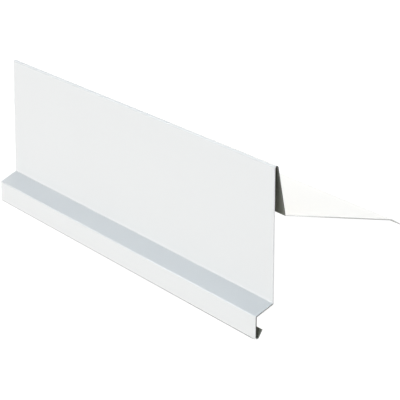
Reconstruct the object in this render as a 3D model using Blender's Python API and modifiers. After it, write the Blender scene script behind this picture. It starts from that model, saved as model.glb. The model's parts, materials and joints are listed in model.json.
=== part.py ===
"""Verge flashing: one strip of coated steel sheet, folded lengthwise, that covers the sloping edge of a roof.

The section starts at the hook's free edge and runs round to the lip's free edge:
hook, drip face, ledge, fascia, back leg, roof flange, lip. The coated front is on the
left of that walk, so it faces the weather all the way, and the reverse side faces the roof.
The piece lies as it would on a level floor, on its drip fold and on the edge of its lip.
"""

import math

import bmesh
import bpy
from mathutils import Matrix, Vector

# Sheet, in metres
SHEET_THICKNESS = 0.00075
PIECE_LENGTH = 0.4

# Inner radius of the bends, in metres; the fold at the top is left more open than the rest
BEND_INNER_RADIUS = 0.0005
TOP_FOLD_INNER_RADIUS = 0.0008

# Faces of the section, in metres, along the front between sharp corners.
# At a fold of more than a right angle a face is measured to the fold's outermost point.
HOOK_LENGTH = 0.0082
DRIP_FACE_HEIGHT = 0.0161
LEDGE_WIDTH = 0.0148
FASCIA_HEIGHT = 0.0900
BACK_LEG_LENGTH = 0.0335
FLANGE_WIDTH = 0.0828
LIP_WIDTH = 0.0072

# Angles of the faces, in degrees, with the fascia plumb
HOOK_OFF_PLUMB = 26.5
LEDGE_SLOPE = 28.9
BACK_LEG_OFF_PLUMB = 9.8
FLANGE_FALL = 9.45
LIP_FALL = 29.7

# Facets in the bends
DEGREES_PER_FACET = 7.5

# Colours, roughness and metallic of the three surfaces
FRONT_COAT = ("front_coat", (0.85, 0.87, 0.86), 0.38, 0.0)
REVERSE_COAT = ("reverse_coat", (0.045, 0.048, 0.038), 0.5, 0.0)
CUT_EDGE = ("cut_edge", (0.36, 0.37, 0.37), 0.4, 0.9)

COLLECTION_NAME = "verge_flashing"
NODE_NAME = "flashing_sheet"


def section_faces():
    """(length, heading, inner radius of the bend after it) of each flat face in the walk.

    A heading is in degrees, 0 inward and 90 up. The last face ends at a free edge.
    """
    return [
        (HOOK_LENGTH, 270.0 - HOOK_OFF_PLUMB, BEND_INNER_RADIUS),
        (DRIP_FACE_HEIGHT, 90.0, BEND_INNER_RADIUS),
        (LEDGE_WIDTH, LEDGE_SLOPE, BEND_INNER_RADIUS),
        (FASCIA_HEIGHT, 90.0, TOP_FOLD_INNER_RADIUS),
        (BACK_LEG_LENGTH, BACK_LEG_OFF_PLUMB - 90.0, BEND_INNER_RADIUS),
        (FLANGE_WIDTH, -FLANGE_FALL, BEND_INNER_RADIUS),
        (LIP_WIDTH, -LIP_FALL, None),
    ]


def section_bends(faces):
    """(turn, radius of the front) of the bend after each face but the last; a turn to the left is positive."""
    bends = []
    for (_, heading, inner_radius), (_, next_heading, _) in zip(faces, faces[1:]):
        turn = (next_heading - heading + 180.0) % 360.0 - 180.0
        front_radius = inner_radius if turn > 0.0 else inner_radius + SHEET_THICKNESS
        bends.append((turn, front_radius))
    return bends


def setback(turn, radius):
    """How far a bend starts from the corner or outermost point that its faces are measured to."""
    return radius * math.tan(math.radians(min(abs(turn), 90.0)) / 2.0)


def direction(heading):
    angle = math.radians(heading)
    return Vector((math.cos(angle), math.sin(angle)))


def walk_section():
    """(point, heading) of each vertex of the front; a point is (inward, up) from the hook's free edge."""
    faces = section_faces()
    bends = section_bends(faces)
    setbacks = [0.0] + [setback(turn, radius) for turn, radius in bends] + [0.0]
    point = Vector((0.0, 0.0))
    walk = [(point.copy(), faces[0][1])]
    for index, (length, heading, _) in enumerate(faces):
        point += direction(heading) * (length - setbacks[index] - setbacks[index + 1])
        walk.append((point.copy(), heading))
        if index < len(bends):
            walk += walk_bend(point, heading, *bends[index])
            point = walk[-1][0].copy()
    return walk


def walk_bend(start, heading, turn, radius):
    """(point, heading) of each vertex of one bend after its first."""
    side = math.copysign(90.0, turn)
    centre = start + direction(heading + side) * radius
    facets = max(1, math.ceil(abs(turn) / DEGREES_PER_FACET))
    headings = [heading + turn * step / facets for step in range(1, facets + 1)]
    return [(centre + direction(at - side) * radius, at) for at in headings]


def both_faces(walk):
    """The points of the front, and those of the reverse side one sheet thickness behind them."""
    front = [point for point, _ in walk]
    reverse = [point + direction(heading - 90.0) * SHEET_THICKNESS for point, heading in walk]
    return front, reverse


def rest_tilt(walk):
    """The slope of the line under the section, from its drip fold up to the edge of its lip."""
    front, reverse = both_faces(walk)
    lip_edge = reverse[-1]
    lines = [lip_edge - point for point in front]
    return max(math.atan2(line.y, line.x) for line in lines)


def placed_at_rest(walk):
    """The matrix that lays the section down and centres its base on the origin."""
    turned = Matrix.Rotation(-rest_tilt(walk), 4, "X")
    front, reverse = both_faces(walk)
    corners = [turned @ Vector((0.0, point.x, point.y)) for point in front + reverse]
    low_y = min(corner.y for corner in corners)
    high_y = max(corner.y for corner in corners)
    low_z = min(corner.z for corner in corners)
    return Matrix.Translation((0.0, -(low_y + high_y) / 2.0, -low_z)) @ turned


def section_surface(walk):
    """The front as an open surface: the section's line drawn out along the length."""
    mesh = bpy.data.meshes.new(NODE_NAME)
    shape = bmesh.new()
    near = PIECE_LENGTH / 2.0
    line = [shape.verts.new((near, point.x, point.y)) for point, _ in walk]
    edges = [shape.edges.new(pair) for pair in zip(line, line[1:])]
    drawn = bmesh.ops.extrude_edge_only(shape, edges=edges)
    far_line = [item for item in drawn["geom"] if isinstance(item, bmesh.types.BMVert)]
    bmesh.ops.translate(shape, vec=(-PIECE_LENGTH, 0.0, 0.0), verts=far_line)
    face_the_weather(shape)
    shape.to_mesh(mesh)
    shape.free()
    return mesh


def face_the_weather(shape):
    """Turns the surface so that its normals leave the coated front: on the fascia they point outward."""
    shape.normal_update()
    fascia = max(shape.faces, key=lambda face: face.calc_area())
    if fascia.normal.y > 0.0:
        bmesh.ops.reverse_faces(shape, faces=shape.faces[:])


def surface_material(name, colour, roughness, metallic):
    material = bpy.data.materials.new(name)
    material.use_nodes = True
    material.diffuse_color = (*colour, 1.0)
    shader = material.node_tree.nodes["Principled BSDF"]
    shader.inputs["Base Color"].default_value = (*colour, 1.0)
    shader.inputs["Roughness"].default_value = roughness
    shader.inputs["Metallic"].default_value = metallic
    return material


def build_flashing(collection):
    walk = walk_section()
    mesh = section_surface(walk)
    for surface in (FRONT_COAT, REVERSE_COAT, CUT_EDGE):
        mesh.materials.append(surface_material(*surface))
    mesh.shade_smooth()
    mesh.set_sharp_from_angle(angle=math.radians(2.0 * DEGREES_PER_FACET))

    flashing = bpy.data.objects.new(NODE_NAME, mesh)
    collection.objects.link(flashing)
    flashing.matrix_world = placed_at_rest(walk)

    sheet = flashing.modifiers.new("sheet_thickness", "SOLIDIFY")
    sheet.thickness = SHEET_THICKNESS
    sheet.offset = -1.0
    sheet.use_even_offset = True
    sheet.use_rim = True
    sheet.material_offset = 1
    sheet.material_offset_rim = 2
    return flashing


def clear_scene():
    for old in list(bpy.data.objects):
        bpy.data.objects.remove(old, do_unlink=True)


def main():
    clear_scene()
    collection = bpy.data.collections.new(COLLECTION_NAME)
    bpy.context.scene.collection.children.link(collection)
    build_flashing(collection)


main()
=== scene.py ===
"""A verge flashing folded from one strip of coated sheet, on a pale floor.

The sheet is folded the way a folding bench does it: a flat is drawn out, the next bend is turned
about its own centre, and so on from the hook's free edge round to the lip's. It is folded with
the fascia plumb and then laid down on its drip fold and on the edge of its lip.
"""

import json
import math

import bmesh
import bpy
from bpy.props import FloatProperty, FloatVectorProperty, PointerProperty
from mathutils import Matrix, Vector


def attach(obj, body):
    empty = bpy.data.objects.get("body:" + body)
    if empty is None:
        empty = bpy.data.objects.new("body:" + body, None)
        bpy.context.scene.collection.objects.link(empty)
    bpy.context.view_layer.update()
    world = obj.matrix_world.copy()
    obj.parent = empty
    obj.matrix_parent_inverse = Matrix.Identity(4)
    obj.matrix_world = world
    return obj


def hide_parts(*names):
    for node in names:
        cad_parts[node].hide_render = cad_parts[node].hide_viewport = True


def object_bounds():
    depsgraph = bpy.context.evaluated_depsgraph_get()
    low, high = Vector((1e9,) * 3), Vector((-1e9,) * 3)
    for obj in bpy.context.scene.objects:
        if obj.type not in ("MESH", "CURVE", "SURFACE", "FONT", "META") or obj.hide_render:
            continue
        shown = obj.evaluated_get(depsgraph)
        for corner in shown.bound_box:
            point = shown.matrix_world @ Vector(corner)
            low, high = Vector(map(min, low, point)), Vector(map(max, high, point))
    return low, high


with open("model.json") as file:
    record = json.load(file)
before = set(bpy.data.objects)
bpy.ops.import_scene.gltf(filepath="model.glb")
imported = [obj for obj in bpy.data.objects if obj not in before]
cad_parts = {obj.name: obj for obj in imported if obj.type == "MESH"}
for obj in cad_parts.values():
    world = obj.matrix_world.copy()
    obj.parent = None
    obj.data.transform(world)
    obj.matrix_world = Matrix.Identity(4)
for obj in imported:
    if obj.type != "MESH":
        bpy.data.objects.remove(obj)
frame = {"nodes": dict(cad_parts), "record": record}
CAD_LOW, CAD_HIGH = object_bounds()

bl_info = {
    "name": "Verge Flashing",
    "version": (1, 0, 0),
    "blender": (4, 5, 0),
    "location": "3D Viewport > Sidebar > Flashing",
    "description": "Folds a verge flashing from coated sheet and sets it on a lit floor",
    "category": "Add Mesh",
}

SHEET_NODE = "flashing_sheet"
SHEET_PIECE = "folded_sheet"
# The sheet's material slots, in the order that sheet_materials gives them
FRONT, REVERSE, CUT, BEND, LEDGE_BEND_HIGHLIGHT, HEM_SHADE = range(6)

RIGHT_ANGLE = math.radians(90.0)
CAD_MIDDLE = (CAD_LOW + CAD_HIGH) / 2.0
FASCIA_MOUNT = next(item for item in frame["record"]["mounts"] if item["name"] == "fascia_front")
FASCIA_AXIS = Vector(FASCIA_MOUNT["axis"])
FASCIA_POINT = Vector(FASCIA_MOUNT["pos_m"])
# From the upright piece, whose fascia is plumb, to the piece as it rests on the floor, and back
REST_TURN = -math.atan2(FASCIA_AXIS.z, -FASCIA_AXIS.y)
TO_REST = Matrix.Rotation(REST_TURN, 4, "X")
TO_UPRIGHT = TO_REST.inverted()

# The bends are turned in steps of this many degrees at most
BEND_STEP = 5.0
# Points closer than this are merged, in metres
MERGE_DISTANCE = 0.000001
# Places closer than this count as the same, in metres
TOLERANCE = 0.00005
# A face of the weather side narrower than this is one step of a bend, in metres
BEND_FACE_WIDTH = 0.001
# A face is plumb if its normal's share along Y is above this
PLUMB_SHARE = 0.99
# How far up the drip fold its coat is darkened as painted shade, with the fascia plumb, in metres
HEM_SHADE_HEIGHT = 0.0011
# How short the fascia was cut at its top, as a share of how short it was cut at its foot
TOP_SHORT_SHARE = 0.4
# Faces that meet at less than this angle are shaded as one
SHARP_ANGLE = math.radians(40.0)


def length_property(label, text, default):
    return FloatProperty(
        name=label, description=text, default=default, min=0.0, unit="LENGTH", precision=5
    )


def angle_property(label, text, degrees):
    return FloatProperty(
        name=label, description=text, default=math.radians(degrees), subtype="ANGLE"
    )


def share_property(label, text, default, most):
    return FloatProperty(
        name=label, description=text, default=default, min=0.0, max=most, subtype="FACTOR"
    )


def colour_property(label, text, default):
    return FloatVectorProperty(
        name=label, description=text, default=default, min=0.0, max=1.0, size=3, subtype="COLOR"
    )


class FlashingSheetSettings(bpy.types.PropertyGroup):
    """Sizes of the folded section and colours of its surfaces."""

    thickness: length_property("Sheet thickness", "Gauge of the coated sheet", 0.00075)
    length: length_property("Length", "Length of the piece", 0.4)
    bend_radius: length_property("Bend radius", "Inner radius of the bends", 0.0005)
    top_fold_radius: length_property(
        "Top fold radius", "Inner radius of the fold at the top", 0.0008
    )

    hook: length_property("Hook", "Length of the hook under the drip face", 0.0082)
    drip_face: length_property("Drip face", "Height of the drip face", 0.0161)
    ledge: length_property("Ledge", "Width of the ledge under the fascia", 0.0148)
    fascia: length_property("Fascia", "Height of the fascia", 0.0900)
    back_leg: length_property("Back leg", "Length of the leg behind the fascia", 0.0335)
    flange: length_property("Flange", "Width of the roof flange", 0.0828)
    lip: length_property("Lip", "Width of the turned-down lip", 0.0072)

    hook_off_plumb: angle_property(
        "Hook off plumb", "How far the hook stands out from the drip face", 26.5
    )
    ledge_slope: angle_property("Ledge slope", "How far the ledge falls outward", 28.9)
    leg_off_plumb: angle_property(
        "Leg off plumb", "How far the back leg leans out from plumb", 9.8
    )
    flange_fall: angle_property("Flange fall", "How far the flange falls inward", 9.45)
    lip_fall: angle_property("Lip fall", "How far the lip falls inward", 29.7)

    pinch_length: length_property(
        "Pinch length", "Length of the near end that the shears bent", 0.0033
    )
    pinch_height: length_property(
        "Pinch height", "Height of the crushed part of the drip fold", 0.003
    )
    pinch_share: share_property(
        "Pinch", "How much of its height the crushed part of the drip fold lost", 0.3, most=0.9
    )
    push_share: share_property(
        "Push",
        "How far the shears pushed in the near end of the ledge and the drip, "
        "as a share of how far they stand before the fascia",
        0.018,
        most=0.2,
    )
    press_share: share_property(
        "Press",
        "How far the shears pressed the near end of the hook toward the drip face, "
        "as a share of how far it stands off",
        0.03,
        most=0.5,
    )
    fascia_short: length_property(
        "Fascia short", "How much the fascia's foot was cut short at the near end", 0.0004
    )
    edge_round: length_property(
        "Edge round", "Radius that the shears leave on the cut edges", 0.00006
    )
    orange_peel: length_property("Orange peel", "Depth of the coat's orange peel", 0.000004)

    # Painted shade on the underside of the drip fold: darkest at the near end, half as dark at the
    # far end
    hem_shade: share_property(
        "Hem wear", "How much the rubbed drip fold darkens at the near end", 0.74, most=1.0
    )
    front_colour: colour_property(
        "Front coat", "Colour of the weather side's coat", (0.834, 0.852, 0.845)
    )
    reverse_colour: colour_property(
        "Reverse coat", "Colour of the backing coat", (0.266, 0.272, 0.23)
    )
    cut_colour: colour_property(
        "Cut edge", "Colour of the bare metal in the cut edges", (0.44, 0.44, 0.435)
    )
    # Painted shade on the cut at the drip, the ledge and the back leg
    shadowed_cut_colour: colour_property(
        "Dark cut edge", "Colour of the cut where the shears tore the metal", (0.12, 0.12, 0.115)
    )
    # Painted light on the cut at the first part of the flange
    lighter_cut_colour: colour_property(
        "Smeared cut edge",
        "Colour of the cut where the white coat is smeared over the metal",
        (0.74, 0.74, 0.73),
    )
    # Painted light on the cut along the fascia
    fascia_cut_colour: colour_property(
        "Covered cut edge",
        "Colour of the cut along the fascia, where the white coat covers the metal",
        (0.94, 0.94, 0.94),
    )


class FlashingStageSettings(bpy.types.PropertyGroup):
    """Floor, light and camera."""

    floor_size: length_property("Floor size", "Side of the square floor", 24.0)
    floor_colour: colour_property("Floor colour", "Colour of the floor", (0.15, 0.15, 0.15))
    floor_glow: FloatProperty(
        name="Floor glow",
        description="White light that the floor gives by itself",
        default=1.0,
        min=0.0,
    )

    light_distance: length_property(
        "Light distance", "From the softboxes to the middle of the piece", 2.2
    )
    light_size: length_property("Light size", "Side of the square softboxes", 1.0)

    camera_azimuth: angle_property(
        "Camera azimuth", "Turn of the camera round the upright piece", 61.0271
    )
    camera_elevation: angle_property(
        "Camera elevation", "Height of the camera over the upright piece", 14.7191
    )
    camera_roll: angle_property(
        "Camera roll", "Turn of the camera about its own axis", 0.101
    )
    camera_distance: length_property(
        "Camera distance", "From the camera to the point it looks at", 1.50307
    )
    camera_lens: FloatProperty(
        name="Lens",
        description="Focal length of the camera",
        default=188.317,
        min=1.0,
        unit="CAMERA",
    )
    sensor_width: FloatProperty(
        name="Sensor width",
        description="Width of the camera's sensor",
        default=36.0,
        min=1.0,
        unit="CAMERA",
    )
    aim_along: length_property(
        "Aim along", "The point looked at, from the middle of the length", 0.01814
    )
    aim_inward: length_property(
        "Aim inward", "The point looked at, inward from the fascia", 0.04741
    )
    aim_up: length_property(
        "Aim up", "The point looked at, above the foot of the fascia", 0.02014
    )


# The light from all round: (height of the direction, colour), from straight down to straight up.
# It is darkest where the floor ends and brightest just above
SKY = (
    (-1.0, (0.80, 0.80, 0.80)),
    (-0.35, (0.76, 0.75, 0.73)),
    (-0.03, (0.00, 0.00, 0.00)),
    (0.03, (1.85, 1.83, 1.81)),
    (0.2, (0.47, 0.47, 0.48)),
    (1.0, (0.00, 0.09, 0.17)),
)
# The softboxes: name, azimuth and elevation in degrees, watts, colour. Azimuth 0 is in front of
# the fascia and 90 beyond the near end
SOFTBOXES = (
    ("low_front", 0.0, 15.0, 18.8, (1.00, 0.91, 0.84)),
    ("low_rear", 180.0, 15.0, 10.8, (1.00, 0.87, 0.75)),
    ("low_far_rear", 225.0, 15.0, 10.2, (1.00, 0.84, 0.67)),
    ("mid_far_side", -75.0, 35.0, 10.0, (1.00, 0.95, 0.94)),
    ("high_near_front", 60.0, 55.0, 9.4, (0.92, 0.96, 1.00)),
    ("high_rear", 180.0, 55.0, 13.6, (1.00, 1.00, 0.99)),
)


# The section


def section_flats(sizes):
    """(length, heading, inner radius of the bend after it) of each flat, from the hook to the lip.

    A heading is an angle in the section's plane, 0 inward and 90 degrees up.
    """
    plumb = RIGHT_ANGLE
    return [
        (sizes.hook, -plumb - sizes.hook_off_plumb, sizes.bend_radius),
        (sizes.drip_face, plumb, sizes.bend_radius),
        (sizes.ledge, sizes.ledge_slope, sizes.bend_radius),
        (sizes.fascia, plumb, sizes.top_fold_radius),
        (sizes.back_leg, sizes.leg_off_plumb - plumb, sizes.bend_radius),
        (sizes.flange, -sizes.flange_fall, sizes.bend_radius),
        (sizes.lip, -sizes.lip_fall, None),
    ]


def section_bends(sizes):
    """(turn, radius of the weather side) of each bend.

    A turn is positive where the heading grows, as it does from inward to up.
    """
    flats = section_flats(sizes)
    bends = []
    for (_, heading, inner), (_, next_heading, _) in zip(flats, flats[1:]):
        turn = (next_heading - heading + math.pi) % (2.0 * math.pi) - math.pi
        bends.append((turn, inner if turn > 0.0 else inner + sizes.thickness))
    return bends


def setback(turn, radius):
    """How far a bend starts from the corner or outermost point that its flats are measured to."""
    return radius * math.tan(min(abs(turn), RIGHT_ANGLE) / 2.0)


def along(heading):
    return Vector((0.0, math.cos(heading), math.sin(heading)))


# Modelling helpers


def deselect_all():
    for item in bpy.context.selected_objects:
        item.select_set(False)
    bpy.context.view_layer.objects.active = None


def select_only(piece):
    deselect_all()
    piece.select_set(True)
    bpy.context.view_layer.objects.active = piece


def edit(piece):
    select_only(piece)
    bpy.ops.object.mode_set(mode="EDIT")


def leave_edit():
    bpy.ops.object.mode_set(mode="OBJECT")


def select_parts(piece, kind, wanted):
    """Selects the piece's verts, edges or faces, in edit mode, for which wanted is true."""
    bpy.ops.mesh.select_mode(type={"verts": "VERT", "edges": "EDGE", "faces": "FACE"}[kind])
    bpy.ops.mesh.select_all(action="DESELECT")
    shape = bmesh.from_edit_mesh(piece.data)
    shape.normal_update()
    picked = [part for part in getattr(shape, kind) if wanted(part)]
    for part in picked:
        part.select = True
    shape.select_flush_mode()
    bmesh.update_edit_mesh(piece.data)
    if not picked:
        raise RuntimeError(f"none of the sheet's {kind} is where the next step needs one")


def give_material(piece, slot, wanted):
    """Gives the faces, in edit mode, for which wanted is true the material in a slot."""
    select_parts(piece, "faces", wanted)
    piece.active_material_index = slot
    bpy.ops.object.material_slot_assign()


def apply_modifiers(piece):
    select_only(piece)
    for modifier in list(piece.modifiers):
        bpy.ops.object.modifier_apply(modifier=modifier.name)


def box_of(piece):
    """The lowest and the highest corner of the piece's box."""
    corners = [piece.matrix_world @ vert.co for vert in piece.data.vertices]
    low = Vector([min(corner[axis] for corner in corners) for axis in range(3)])
    high = Vector([max(corner[axis] for corner in corners) for axis in range(3)])
    return low, high


def lowest(piece):
    return min(vert.co.z for vert in piece.data.vertices)


# The sheet


def start_with_hook(sizes, flat_length, heading):
    """The hook's flat, as a plane that runs from the section's start along its heading."""
    deselect_all()
    bpy.ops.mesh.primitive_plane_add(size=1.0, location=(0.0, 0.0, 0.0))
    piece = bpy.context.object
    piece.name = SHEET_PIECE
    piece.data.name = SHEET_PIECE
    piece.scale = (sizes.length, flat_length, 1.0)
    piece.rotation_euler = (heading, 0.0, 0.0)
    piece.location = along(heading) * flat_length / 2.0
    bpy.ops.object.transform_apply(location=True, rotation=True, scale=True)
    return piece


def passes(edge, point):
    """Whether an edge that runs along the piece passes a point of the section."""
    return all((vert.co.yz - point.yz).length < TOLERANCE for vert in edge.verts)


def fold_section(sizes):
    """The weather side as an open surface, flat by flat and bend by bend."""
    flats = section_flats(sizes)
    bends = section_bends(sizes)
    setbacks = [0.0] + [setback(*bend) for bend in bends] + [0.0]
    runs = [flat[0] - before - after for flat, before, after in zip(flats, setbacks, setbacks[1:])]

    piece = start_with_hook(sizes, runs[0], flats[0][1])
    point = along(flats[0][1]) * runs[0]
    edit(piece)
    select_parts(piece, "edges", lambda edge: passes(edge, point))
    for (_, heading, _), run, (turn, radius) in zip(flats, runs[1:], bends):
        side = math.copysign(RIGHT_ANGLE, turn)
        centre = point + along(heading + side) * radius
        steps = math.ceil(abs(math.degrees(turn)) / BEND_STEP)
        bpy.ops.mesh.spin(steps=steps, angle=turn, center=centre, axis=(-1.0, 0.0, 0.0))
        point = centre + along(heading + turn - side) * radius
        step = along(heading + turn) * run
        bpy.ops.mesh.extrude_edges_move(TRANSFORM_OT_translate={"value": step})
        point = point + step
    bpy.ops.mesh.select_all(action="SELECT")
    bpy.ops.mesh.remove_doubles(threshold=MERGE_DISTANCE)
    bpy.ops.mesh.normals_make_consistent(inside=False)
    leave_edit()
    face_weather_side_out(piece)
    return piece


def fascia_face(piece):
    """The fascia's face on the weather side, the foremost of the largest plumb faces."""
    plumb = [face for face in piece.data.polygons if abs(face.normal.y) > PLUMB_SHARE]
    return max(plumb, key=lambda face: (round(face.area, 6), -face.center.y))


def face_weather_side_out(piece):
    """Turns the surface over if the fascia's normal points inward."""
    if fascia_face(piece).normal.y > 0.0:
        edit(piece)
        bpy.ops.mesh.select_all(action="SELECT")
        bpy.ops.mesh.flip_normals()
        leave_edit()


def thicken(piece, sizes):
    """Gives the surface the gauge of the sheet, behind the weather side."""
    sheet = piece.modifiers.new("sheet_thickness", "SOLIDIFY")
    sheet.thickness = sizes.thickness
    sheet.offset = -1.0
    sheet.use_even_offset = True
    sheet.use_rim = True
    sheet.material_offset = REVERSE
    sheet.material_offset_rim = CUT
    apply_modifiers(piece)


def narrow(face):
    """Whether a face is one step of a bend and not a flat."""
    return min(edge.calc_length() for edge in face.edges) < BEND_FACE_WIDTH


def mark_bends(piece):
    """Gives the weather side's bends their own glossier coat. The bends beside the ledge get one
    with a painted highlight that grows toward the near end, and the drip fold's underside gets one
    darkened as painted shade.
    """
    low = lowest(piece)
    foot = min(piece.data.vertices[corner].co.z for corner in fascia_face(piece).vertices)

    def bend_below(face, height):
        return face.material_index in {BEND, LEDGE_BEND_HIGHLIGHT} and face.calc_center_median().z < height

    edit(piece)
    give_material(piece, BEND, lambda face: face.material_index == FRONT and narrow(face))
    give_material(piece, LEDGE_BEND_HIGHLIGHT, lambda face: bend_below(face, foot))
    give_material(piece, HEM_SHADE, lambda face: bend_below(face, low + HEM_SHADE_HEIGHT))
    leave_edit()


def shear_near_end(piece, sizes):
    """Leaves the marks of the shears at the near end.

    They crushed the drip fold upward, pressed the hook toward the drip face, pushed the ledge and
    the drip in a little and cut the fascia a little short, most of all at its foot.
    """
    end = sizes.length / 2.0
    low = lowest(piece)
    fascia = fascia_face(piece).center.y
    heights = [piece.data.vertices[corner].co.z - low for corner in fascia_face(piece).vertices]
    behind_drip = min(vert.co.y for vert in piece.data.vertices) + sizes.thickness

    def pick_end(wanted):
        select_parts(
            piece,
            "verts",
            lambda vert: vert.co.x > end - TOLERANCE and wanted(vert.co.y, vert.co.z - low),
        )

    def in_fascia(y):
        return fascia - TOLERANCE < y < fascia + sizes.thickness + TOLERANCE

    edit(piece)
    bpy.ops.mesh.select_all(action="SELECT")
    bpy.ops.mesh.bisect(plane_co=(end - sizes.pinch_length, 0.0, 0.0), plane_no=(1.0, 0.0, 0.0))
    pick_end(lambda y, height: height < sizes.pinch_height)
    bpy.ops.transform.resize(
        value=(1.0, 1.0, 1.0 - sizes.pinch_share),
        center_override=(0.0, 0.0, low + sizes.pinch_height),
    )
    pick_end(lambda y, height: y > behind_drip + TOLERANCE and height < sizes.hook)
    bpy.ops.transform.resize(
        value=(1.0, 1.0 - sizes.press_share, 1.0), center_override=(0.0, behind_drip, 0.0)
    )
    pick_end(lambda y, height: y < fascia - TOLERANCE)
    bpy.ops.transform.resize(
        value=(1.0, 1.0 - sizes.push_share, 1.0), center_override=(0.0, fascia, 0.0)
    )
    for level, share in ((min(heights), 1.0), (max(heights), TOP_SHORT_SHARE)):
        pick_end(lambda y, height: in_fascia(y) and abs(height - level) < TOLERANCE)
        bpy.ops.transform.translate(value=(-share * sizes.fascia_short, 0.0, 0.0))
    leave_edit()


def joins(edge, slots, other_slots):
    """Whether a face in one of the slots meets a face in one of the others at this edge."""
    met = [face.material_index for face in edge.link_faces]
    return any(slot in slots for slot in met) and any(slot in other_slots for slot in met)


def round_cut_edges(piece, sizes):
    """Rolls the coat of each side a little way over the sheared edges."""
    for coat, side in ((FRONT, {FRONT, BEND, LEDGE_BEND_HIGHLIGHT, HEM_SHADE}), (REVERSE, {REVERSE})):
        edit(piece)
        select_parts(piece, "edges", lambda edge: joins(edge, side, {CUT}))
        bpy.ops.mesh.bevel(offset=sizes.edge_round, segments=3, affect="EDGES", material=coat)
        leave_edit()


def drag_coat(piece, sizes):
    """Gives the bends' coat to the crushed end of the drip fold and to its cut, in place of the
    hem's painted shade and the cut's tones.
    """
    start = sizes.length / 2.0 - sizes.pinch_length
    low = lowest(piece)

    def crushed(face):
        place = face.calc_center_median()
        height = place.z - low
        return place.x > start and height < HEM_SHADE_HEIGHT + sizes.pinch_share * sizes.pinch_height

    edit(piece)
    give_material(piece, BEND, lambda face: face.material_index in {HEM_SHADE, CUT} and crushed(face))
    leave_edit()


def lay_down(piece):
    """Turns the piece about its length until it rests as the frame's node does."""
    select_only(piece)
    piece.rotation_euler = (REST_TURN, 0.0, 0.0)
    bpy.ops.object.transform_apply(location=False, rotation=True, scale=False)
    low, high = box_of(piece)
    piece.location = CAD_MIDDLE - (low + high) / 2.0
    bpy.ops.object.transform_apply(location=True, rotation=False, scale=False)


def smooth_bends(piece):
    """Smooth bends beside flats that stay flat in the light."""
    select_only(piece)
    bpy.ops.object.shade_smooth_by_angle(angle=SHARP_ANGLE)
    weighted = piece.modifiers.new("flat_faces_lead", "WEIGHTED_NORMAL")
    weighted.keep_sharp = True
    weighted.weight = 100
    apply_modifiers(piece)


# Material helpers

# A noise seldom leaves this range
NOISE_LOW, NOISE_HIGH = 0.3, 0.7


def new_material(name):
    """(material, its shader, its node tree)."""
    material = bpy.data.materials.new(name)
    material.use_nodes = True
    tree = material.node_tree
    return material, tree.nodes["Principled BSDF"], tree


def object_coordinates(tree, lengthwise=1.0):
    """Object coordinates in metres, of which the one along the piece is times lengthwise."""
    source = tree.nodes.new("ShaderNodeTexCoord")
    mapping = tree.nodes.new("ShaderNodeMapping")
    mapping.inputs["Scale"].default_value = (lengthwise, 1.0, 1.0)
    tree.links.new(source.outputs["Object"], mapping.inputs["Vector"])
    return mapping.outputs["Vector"]


def part_of(tree, vector, axis):
    """The share of a vector along X, Y or Z."""
    node = tree.nodes.new("ShaderNodeSeparateXYZ")
    tree.links.new(vector, node.inputs["Vector"])
    return node.outputs[axis]


def depth_behind_fascia(tree):
    """How far a point lies behind the fascia's face, in metres."""
    source = tree.nodes.new("ShaderNodeTexCoord")
    project = tree.nodes.new("ShaderNodeVectorMath")
    project.operation = "DOT_PRODUCT"
    project.inputs[1].default_value = -FASCIA_AXIS
    tree.links.new(source.outputs["Object"], project.inputs[0])
    offset = tree.nodes.new("ShaderNodeMath")
    offset.operation = "ADD"
    offset.inputs[1].default_value = FASCIA_POINT.dot(FASCIA_AXIS)
    tree.links.new(project.outputs["Value"], offset.inputs[0])
    return offset.outputs["Value"]


def noise(tree, coordinates, per_metre, detail=2.0, roughness=0.5, seed=0.0):
    """A noise whose grain repeats about per_metre times in a metre."""
    node = tree.nodes.new("ShaderNodeTexNoise")
    node.noise_dimensions = "4D"
    node.inputs["W"].default_value = seed
    node.inputs["Scale"].default_value = per_metre
    node.inputs["Detail"].default_value = detail
    node.inputs["Roughness"].default_value = roughness
    tree.links.new(coordinates, node.inputs["Vector"])
    return node.outputs["Fac"]


def spread(tree, value, low, high, to_low, to_high):
    """value, taken from low..high to to_low..to_high."""
    node = tree.nodes.new("ShaderNodeMapRange")
    node.inputs["From Min"].default_value = low
    node.inputs["From Max"].default_value = high
    node.inputs["To Min"].default_value = to_low
    node.inputs["To Max"].default_value = to_high
    tree.links.new(value, node.inputs["Value"])
    return node.outputs["Result"]


def spread_noise(tree, value, to_low, to_high):
    """A noise, taken to to_low..to_high."""
    return spread(tree, value, NOISE_LOW, NOISE_HIGH, to_low, to_high)


def feed(tree, socket, colour):
    """Gives a socket a colour, which is either a number triple or another node's output."""
    if isinstance(colour, bpy.types.NodeSocket):
        tree.links.new(colour, socket)
    else:
        socket.default_value = (*colour, 1.0)


def between(tree, factor, colour_a, colour_b):
    """A mix of two colours: colour_a where factor is 0 and colour_b where it is 1."""
    node = tree.nodes.new("ShaderNodeMix")
    node.data_type = "RGBA"
    feed(tree, node.inputs["A"], colour_a)
    feed(tree, node.inputs["B"], colour_b)
    tree.links.new(factor, node.inputs["Factor"])
    return node.outputs["Result"]


def times(tree, colour_a, colour_b):
    """The product of two colours, where a single value counts as a grey."""
    node = tree.nodes.new("ShaderNodeMix")
    node.data_type = "RGBA"
    node.blend_type = "MULTIPLY"
    node.inputs["Factor"].default_value = 1.0
    feed(tree, node.inputs["A"], colour_a)
    feed(tree, node.inputs["B"], colour_b)
    return node.outputs["Result"]


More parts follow.
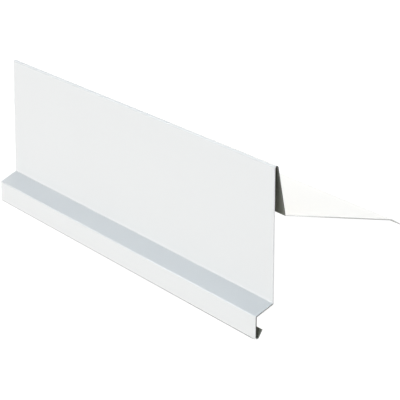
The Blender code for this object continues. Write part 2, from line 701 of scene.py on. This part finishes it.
def ramp(tree, value, low, high, stops):
    """The colour for a value, blended between (value, colour) stops that lie within low..high."""
    node = tree.nodes.new("ShaderNodeValToRGB")
    marks = node.color_ramp.elements
    while len(marks) < len(stops):
        marks.new(0.5)
    for mark, (at, colour) in zip(marks, stops):
        mark.position = (at - low) / (high - low)
        mark.color = (*colour, 1.0)
    tree.links.new(spread(tree, value, low, high, 0.0, 1.0), node.inputs["Fac"])
    return node.outputs["Color"]


def shaded(colour, factor):
    return [channel * factor for channel in colour]


def bump(tree, shader, heights, depth):
    node = tree.nodes.new("ShaderNodeBump")
    node.inputs["Distance"].default_value = depth
    tree.links.new(heights, node.inputs["Height"])
    tree.links.new(node.outputs["Normal"], shader.inputs["Normal"])


# Coats

# How much the roller lines change the front coat's roughness either way
GLOSS_CHANGE = 0.03
# The broad clouds of the backing coat: how many in a metre, and which pattern of them. The pattern
# also paints shade, darker deep in the pocket between the fascia and the back leg
REVERSE_CLOUDS = 40.0
POCKET_SHADE_SEED = 2.8
# How dark and how light the backing coat's clouds and the smears on the cut make their colour
PATCHES = (0.8, 1.2)


def front_coat(settings, name, roughness, far_shade=1.0, near_shade=1.0):
    """Satin white polyester coat: fine orange peel, faintly cloudy, with the coil's roller lines.

    Its colour is times far_shade at the far end of the piece and times near_shade at the near end.
    """
    material, shader, tree = new_material(name)
    place = object_coordinates(tree)
    rolled = object_coordinates(tree, lengthwise=0.06)

    clouds = noise(tree, place, per_metre=14.0, detail=3.0)
    dimmed = shaded(settings.front_colour, 0.985)
    tint = between(tree, clouds, dimmed, settings.front_colour)
    if far_shade != near_shade:
        half = settings.length / 2.0
        shade = spread(tree, part_of(tree, place, "X"), -half, half, far_shade, near_shade)
        tint = times(tree, tint, shade)
    tree.links.new(tint, shader.inputs["Base Color"])

    lines = noise(tree, rolled, per_metre=700.0, detail=3.0)
    gloss = spread_noise(tree, lines, roughness - GLOSS_CHANGE, roughness + GLOSS_CHANGE)
    tree.links.new(gloss, shader.inputs["Roughness"])
    peel = noise(tree, place, per_metre=900.0)
    bump(tree, shader, peel, settings.orange_peel)
    return material


def reverse_coat(settings):
    """Thin olive-grey backing coat, streaky along the coil and matt, with broad clouds that also
    paint shade deep in the pocket behind the fascia.
    """
    material, shader, tree = new_material("reverse_coat")
    place = object_coordinates(tree)
    rolled = object_coordinates(tree, lengthwise=0.08)

    streaks = noise(tree, rolled, per_metre=420.0, detail=4.0, roughness=0.6)
    dark_streak = shaded(settings.reverse_colour, 0.88)
    light_streak = shaded(settings.reverse_colour, 1.12)
    tint = between(tree, spread_noise(tree, streaks, 0.0, 1.0), dark_streak, light_streak)
    # Broad clouds, their pattern placed so that they paint shade deeper in the pocket between the
    # fascia and the back leg
    clouds = noise(tree, place, REVERSE_CLOUDS, detail=1.0, seed=POCKET_SHADE_SEED)
    tint = times(tree, tint, spread_noise(tree, clouds, *PATCHES))
    tree.links.new(tint, shader.inputs["Base Color"])

    matt_patches = noise(tree, place, per_metre=60.0, detail=3.0)
    matt = spread_noise(tree, matt_patches, to_low=0.46, to_high=0.58)
    tree.links.new(matt, shader.inputs["Roughness"])
    grain = noise(tree, place, per_metre=1500.0)
    bump(tree, shader, grain, settings.orange_peel)
    return material


# The cut

# Depth of the grain that the shears leave on the cut, in metres
CUT_GRAIN = 0.00002
# How metallic the cut is away from the fascia, where it is not painted white
BARE_METALLIC = 0.8
# Where the cut's tones of painted light and shade begin and end, from the drip to the lip, in
# metres behind the fascia's face
DRIP_CUT_END = -0.0123
LEDGE_CUT = (-0.0117, -0.0003)
LEG_CUT_END = 0.008
LIGHTER_CUT = (0.0088, 0.02)
BARE_CUT = (0.05, 0.088)
LIP_CUT_START = 0.09
# How far past the fascia's own sheet the painted white along its cut fades out, in metres
WHITE_FADE = 0.0006
# The tones are in two ramps, a fine one for the folds and a coarse one for the flange. The fine
# one gives way to the other within the stretch of painted light on the flange
FOLDS_RAMP = (-0.015, 0.015)
FLANGE_RAMP = (0.015, 0.1)
RAMPS_JOIN = (0.012, 0.013)


def cut_metal(settings):
    """Sheared steel on the cut edges, with painted light and shade.

    The cut faces one way along the whole near end. Its colour changes with how far it lies behind
    the fascia's face: painted white and not metallic along the fascia, painted light on the first
    part of the flange, and painted shade at the drip, the ledge and the back leg.
    """
    material, shader, tree = new_material("cut_metal")
    depth = depth_behind_fascia(tree)
    smears = noise(tree, object_coordinates(tree), per_metre=2500.0, detail=4.0, roughness=0.6)
    patches = spread(tree, smears, 0.0, 1.0, *PATCHES)
    tones = times(tree, cut_tones(settings, tree, depth), patches)
    tree.links.new(tones, shader.inputs["Base Color"])
    metallic = spread(tree, white_cut_mask(settings, tree, depth), 0.0, 1.0, BARE_METALLIC, 0.0)
    tree.links.new(metallic, shader.inputs["Metallic"])
    shader.inputs["Roughness"].default_value = 0.42
    bump(tree, shader, smears, CUT_GRAIN)
    return material


def cut_tones(settings, tree, depth):
    """The colour of the cut by how far it lies behind the fascia's face: painted shade at the
    drip, the ledge and the back leg, painted light along the fascia and the first part of the
    flange.
    """
    shadowed = settings.shadowed_cut_colour
    along_fascia = settings.fascia_cut_colour
    lighter = settings.lighter_cut_colour
    bare = settings.cut_colour
    drip = shaded(shadowed, 0.1)
    ledge = shaded(shadowed, 1.6)
    lip = shaded(bare, 1.25)
    sheet = settings.thickness
    folds = (
        (DRIP_CUT_END, drip),
        (LEDGE_CUT[0], ledge),
        (LEDGE_CUT[1], ledge),
        (0.0, along_fascia),
        (sheet, along_fascia),
        (sheet + WHITE_FADE, shadowed),
        (LEG_CUT_END, shadowed),
        (LIGHTER_CUT[0], lighter),
    )
    flange = (
        (LIGHTER_CUT[1], lighter),
        (BARE_CUT[0], bare),
        (BARE_CUT[1], bare),
        (LIP_CUT_START, lip),
    )
    return between(
        tree,
        spread(tree, depth, *RAMPS_JOIN, 0.0, 1.0),
        ramp(tree, depth, *FOLDS_RAMP, folds),
        ramp(tree, depth, *FLANGE_RAMP, flange),
    )


def white_cut_mask(settings, tree, depth):
    """Where the cut is painted white and not metallic, which it is along the fascia."""
    bare, along_fascia = (0.0, 0.0, 0.0), (1.0, 1.0, 1.0)
    sheet = settings.thickness
    stops = ((LEDGE_CUT[1], bare), (0.0, along_fascia), (sheet, along_fascia), (sheet + WHITE_FADE, bare))
    return ramp(tree, depth, *FOLDS_RAMP, stops)


def sheet_materials(settings):
    """The materials of the sheet, in the order of its slots."""
    # Roughness of the front coat on the flats, where a bend stretched it, and on the drip fold's
    # underside, whose colour is darkened as painted shade
    satin, stretched, rubbed = 0.36, 0.22, 0.4
    darkening = settings.hem_shade
    return (
        front_coat(settings, "front_coat", satin),
        reverse_coat(settings),
        cut_metal(settings),
        front_coat(settings, "front_coat_bend", stretched),
        # The bends beside the ledge: a painted highlight, darker at the far end and lighter toward
        # the near end
        front_coat(
            settings, "front_coat_ledge_bend", stretched, far_shade=0.97, near_shade=1.07
        ),
        # The drip fold's underside: painted shade, darker toward the near end
        front_coat(
            settings, "front_coat_hem", rubbed, far_shade=1.0 - darkening / 2.0, near_shade=1.0 - darkening
        ),
    )


class FLASHING_OT_fold_sheet(bpy.types.Operator):
    """Fold the flashing from one strip of coated sheet and lay it down"""

    bl_idname = "flashing.fold_sheet"
    bl_label = "Fold Sheet"
    bl_options = {"REGISTER", "UNDO"}

    def execute(self, context):
        settings = context.scene.flashing_sheet
        piece = fold_section(settings)
        for material in sheet_materials(settings):
            piece.data.materials.append(material)
        thicken(piece, settings)
        mark_bends(piece)
        shear_near_end(piece, settings)
        round_cut_edges(piece, settings)
        drag_coat(piece, settings)
        lay_down(piece)
        smooth_bends(piece)
        low, high = box_of(piece)
        if (low - CAD_LOW).length > TOLERANCE or (high - CAD_HIGH).length > TOLERANCE:
            raise RuntimeError("the folded sheet doesn't fill the box of the node it stands for")
        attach(piece, "root")
        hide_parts(SHEET_NODE)
        return {"FINISHED"}


# The stage


def lay_floor(settings):
    deselect_all()
    bpy.ops.mesh.primitive_plane_add(size=settings.floor_size, location=(0.0, 0.0, 0.0))
    floor = bpy.context.object
    floor.name = "floor"
    material, shader, _ = new_material("pale_floor")
    shader.inputs["Base Color"].default_value = (*settings.floor_colour, 1.0)
    shader.inputs["Roughness"].default_value = 0.7
    shader.inputs["Emission Color"].default_value = (1.0, 1.0, 1.0, 1.0)
    shader.inputs["Emission Strength"].default_value = settings.floor_glow
    floor.data.materials.append(material)
    floor.visible_diffuse = False
    floor.visible_shadow = False


def light_world(sky):
    """Lights the scene from all round, by (height of the direction, colour) pairs."""
    world = bpy.data.worlds.new("studio")
    bpy.context.scene.world = world
    world.use_nodes = True
    tree = world.node_tree
    source = tree.nodes.new("ShaderNodeTexCoord")
    height = part_of(tree, source.outputs["Generated"], "Z")
    tint = ramp(tree, height, -1.0, 1.0, sky)
    tree.links.new(tint, tree.nodes["Background"].inputs["Color"])


def add_softbox(settings, name, azimuth, elevation, power, colour):
    """A square soft light that faces the middle of the piece."""
    turn, rise = math.radians(azimuth), math.radians(elevation)
    direction = Vector(
        (math.sin(turn) * math.cos(rise), -math.cos(turn) * math.cos(rise), math.sin(rise))
    )
    deselect_all()
    bpy.ops.object.light_add(
        type="AREA", location=CAD_MIDDLE + direction * settings.light_distance
    )
    light = bpy.context.object
    light.name = name
    light.rotation_euler = direction.to_track_quat("Z", "Y").to_euler()
    light.data.shape = "SQUARE"
    light.data.size = settings.light_size
    light.data.energy = power
    light.data.color = colour
    light.visible_camera = False


def top_of_fascia():
    """Height of the top fold's highest point while the fascia is plumb."""
    return max((TO_UPRIGHT @ vert.co).z for vert in frame["nodes"][SHEET_NODE].data.vertices)


def set_camera(settings, sizes):
    """Places the camera before the upright piece and lays it down with the piece."""
    foot = top_of_fascia() - sizes.fascia
    front = (TO_UPRIGHT @ FASCIA_POINT).y
    aim = Vector((settings.aim_along, front + settings.aim_inward, foot + settings.aim_up))
    view = (
        Matrix.Rotation(settings.camera_azimuth, 4, "Z")
        @ Matrix.Rotation(RIGHT_ANGLE - settings.camera_elevation, 4, "X")
        @ Matrix.Rotation(settings.camera_roll, 4, "Z")
    )
    back = view @ Vector((0.0, 0.0, settings.camera_distance))
    deselect_all()
    bpy.ops.object.camera_add()
    camera = bpy.context.object
    camera.name = "camera"
    camera.matrix_world = TO_REST @ Matrix.Translation(aim + back) @ view
    camera.data.sensor_width = settings.sensor_width
    camera.data.lens = settings.camera_lens
    camera.data.clip_start = 0.01
    camera.data.clip_end = 100.0
    bpy.context.scene.camera = camera


class FLASHING_OT_set_stage(bpy.types.Operator):
    """Lay the floor, light it and place the camera"""

    bl_idname = "flashing.set_stage"
    bl_label = "Set Stage"
    bl_options = {"REGISTER", "UNDO"}

    def execute(self, context):
        settings = context.scene.flashing_stage
        lay_floor(settings)
        light_world(SKY)
        for softbox in SOFTBOXES:
            add_softbox(settings, *softbox)
        set_camera(settings, context.scene.flashing_sheet)
        context.scene.view_settings.view_transform = "Standard"
        return {"FINISHED"}


class FLASHING_PT_sidebar(bpy.types.Panel):
    """The steps and the settings of the verge flashing"""

    bl_label = "Verge Flashing"
    bl_idname = "FLASHING_PT_sidebar"
    bl_space_type = "VIEW_3D"
    bl_region_type = "UI"
    bl_category = "Flashing"

    def draw(self, context):
        for settings, operator in (
            (context.scene.flashing_sheet, FLASHING_OT_fold_sheet),
            (context.scene.flashing_stage, FLASHING_OT_set_stage),
        ):
            box = self.layout.box()
            for name in settings.__annotations__:
                box.prop(settings, name)
            box.operator(operator.bl_idname)


CLASSES = (
    FlashingSheetSettings,
    FlashingStageSettings,
    FLASHING_OT_fold_sheet,
    FLASHING_OT_set_stage,
    FLASHING_PT_sidebar,
)


def register():
    for item in CLASSES:
        bpy.utils.register_class(item)
    bpy.types.Scene.flashing_sheet = PointerProperty(type=FlashingSheetSettings)
    bpy.types.Scene.flashing_stage = PointerProperty(type=FlashingStageSettings)


def unregister():
    del bpy.types.Scene.flashing_stage
    del bpy.types.Scene.flashing_sheet
    for item in reversed(CLASSES):
        bpy.utils.unregister_class(item)


def main():
    register()
    bpy.ops.flashing.fold_sheet()
    bpy.ops.flashing.set_stage()


if __name__ == "__main__":
    main()
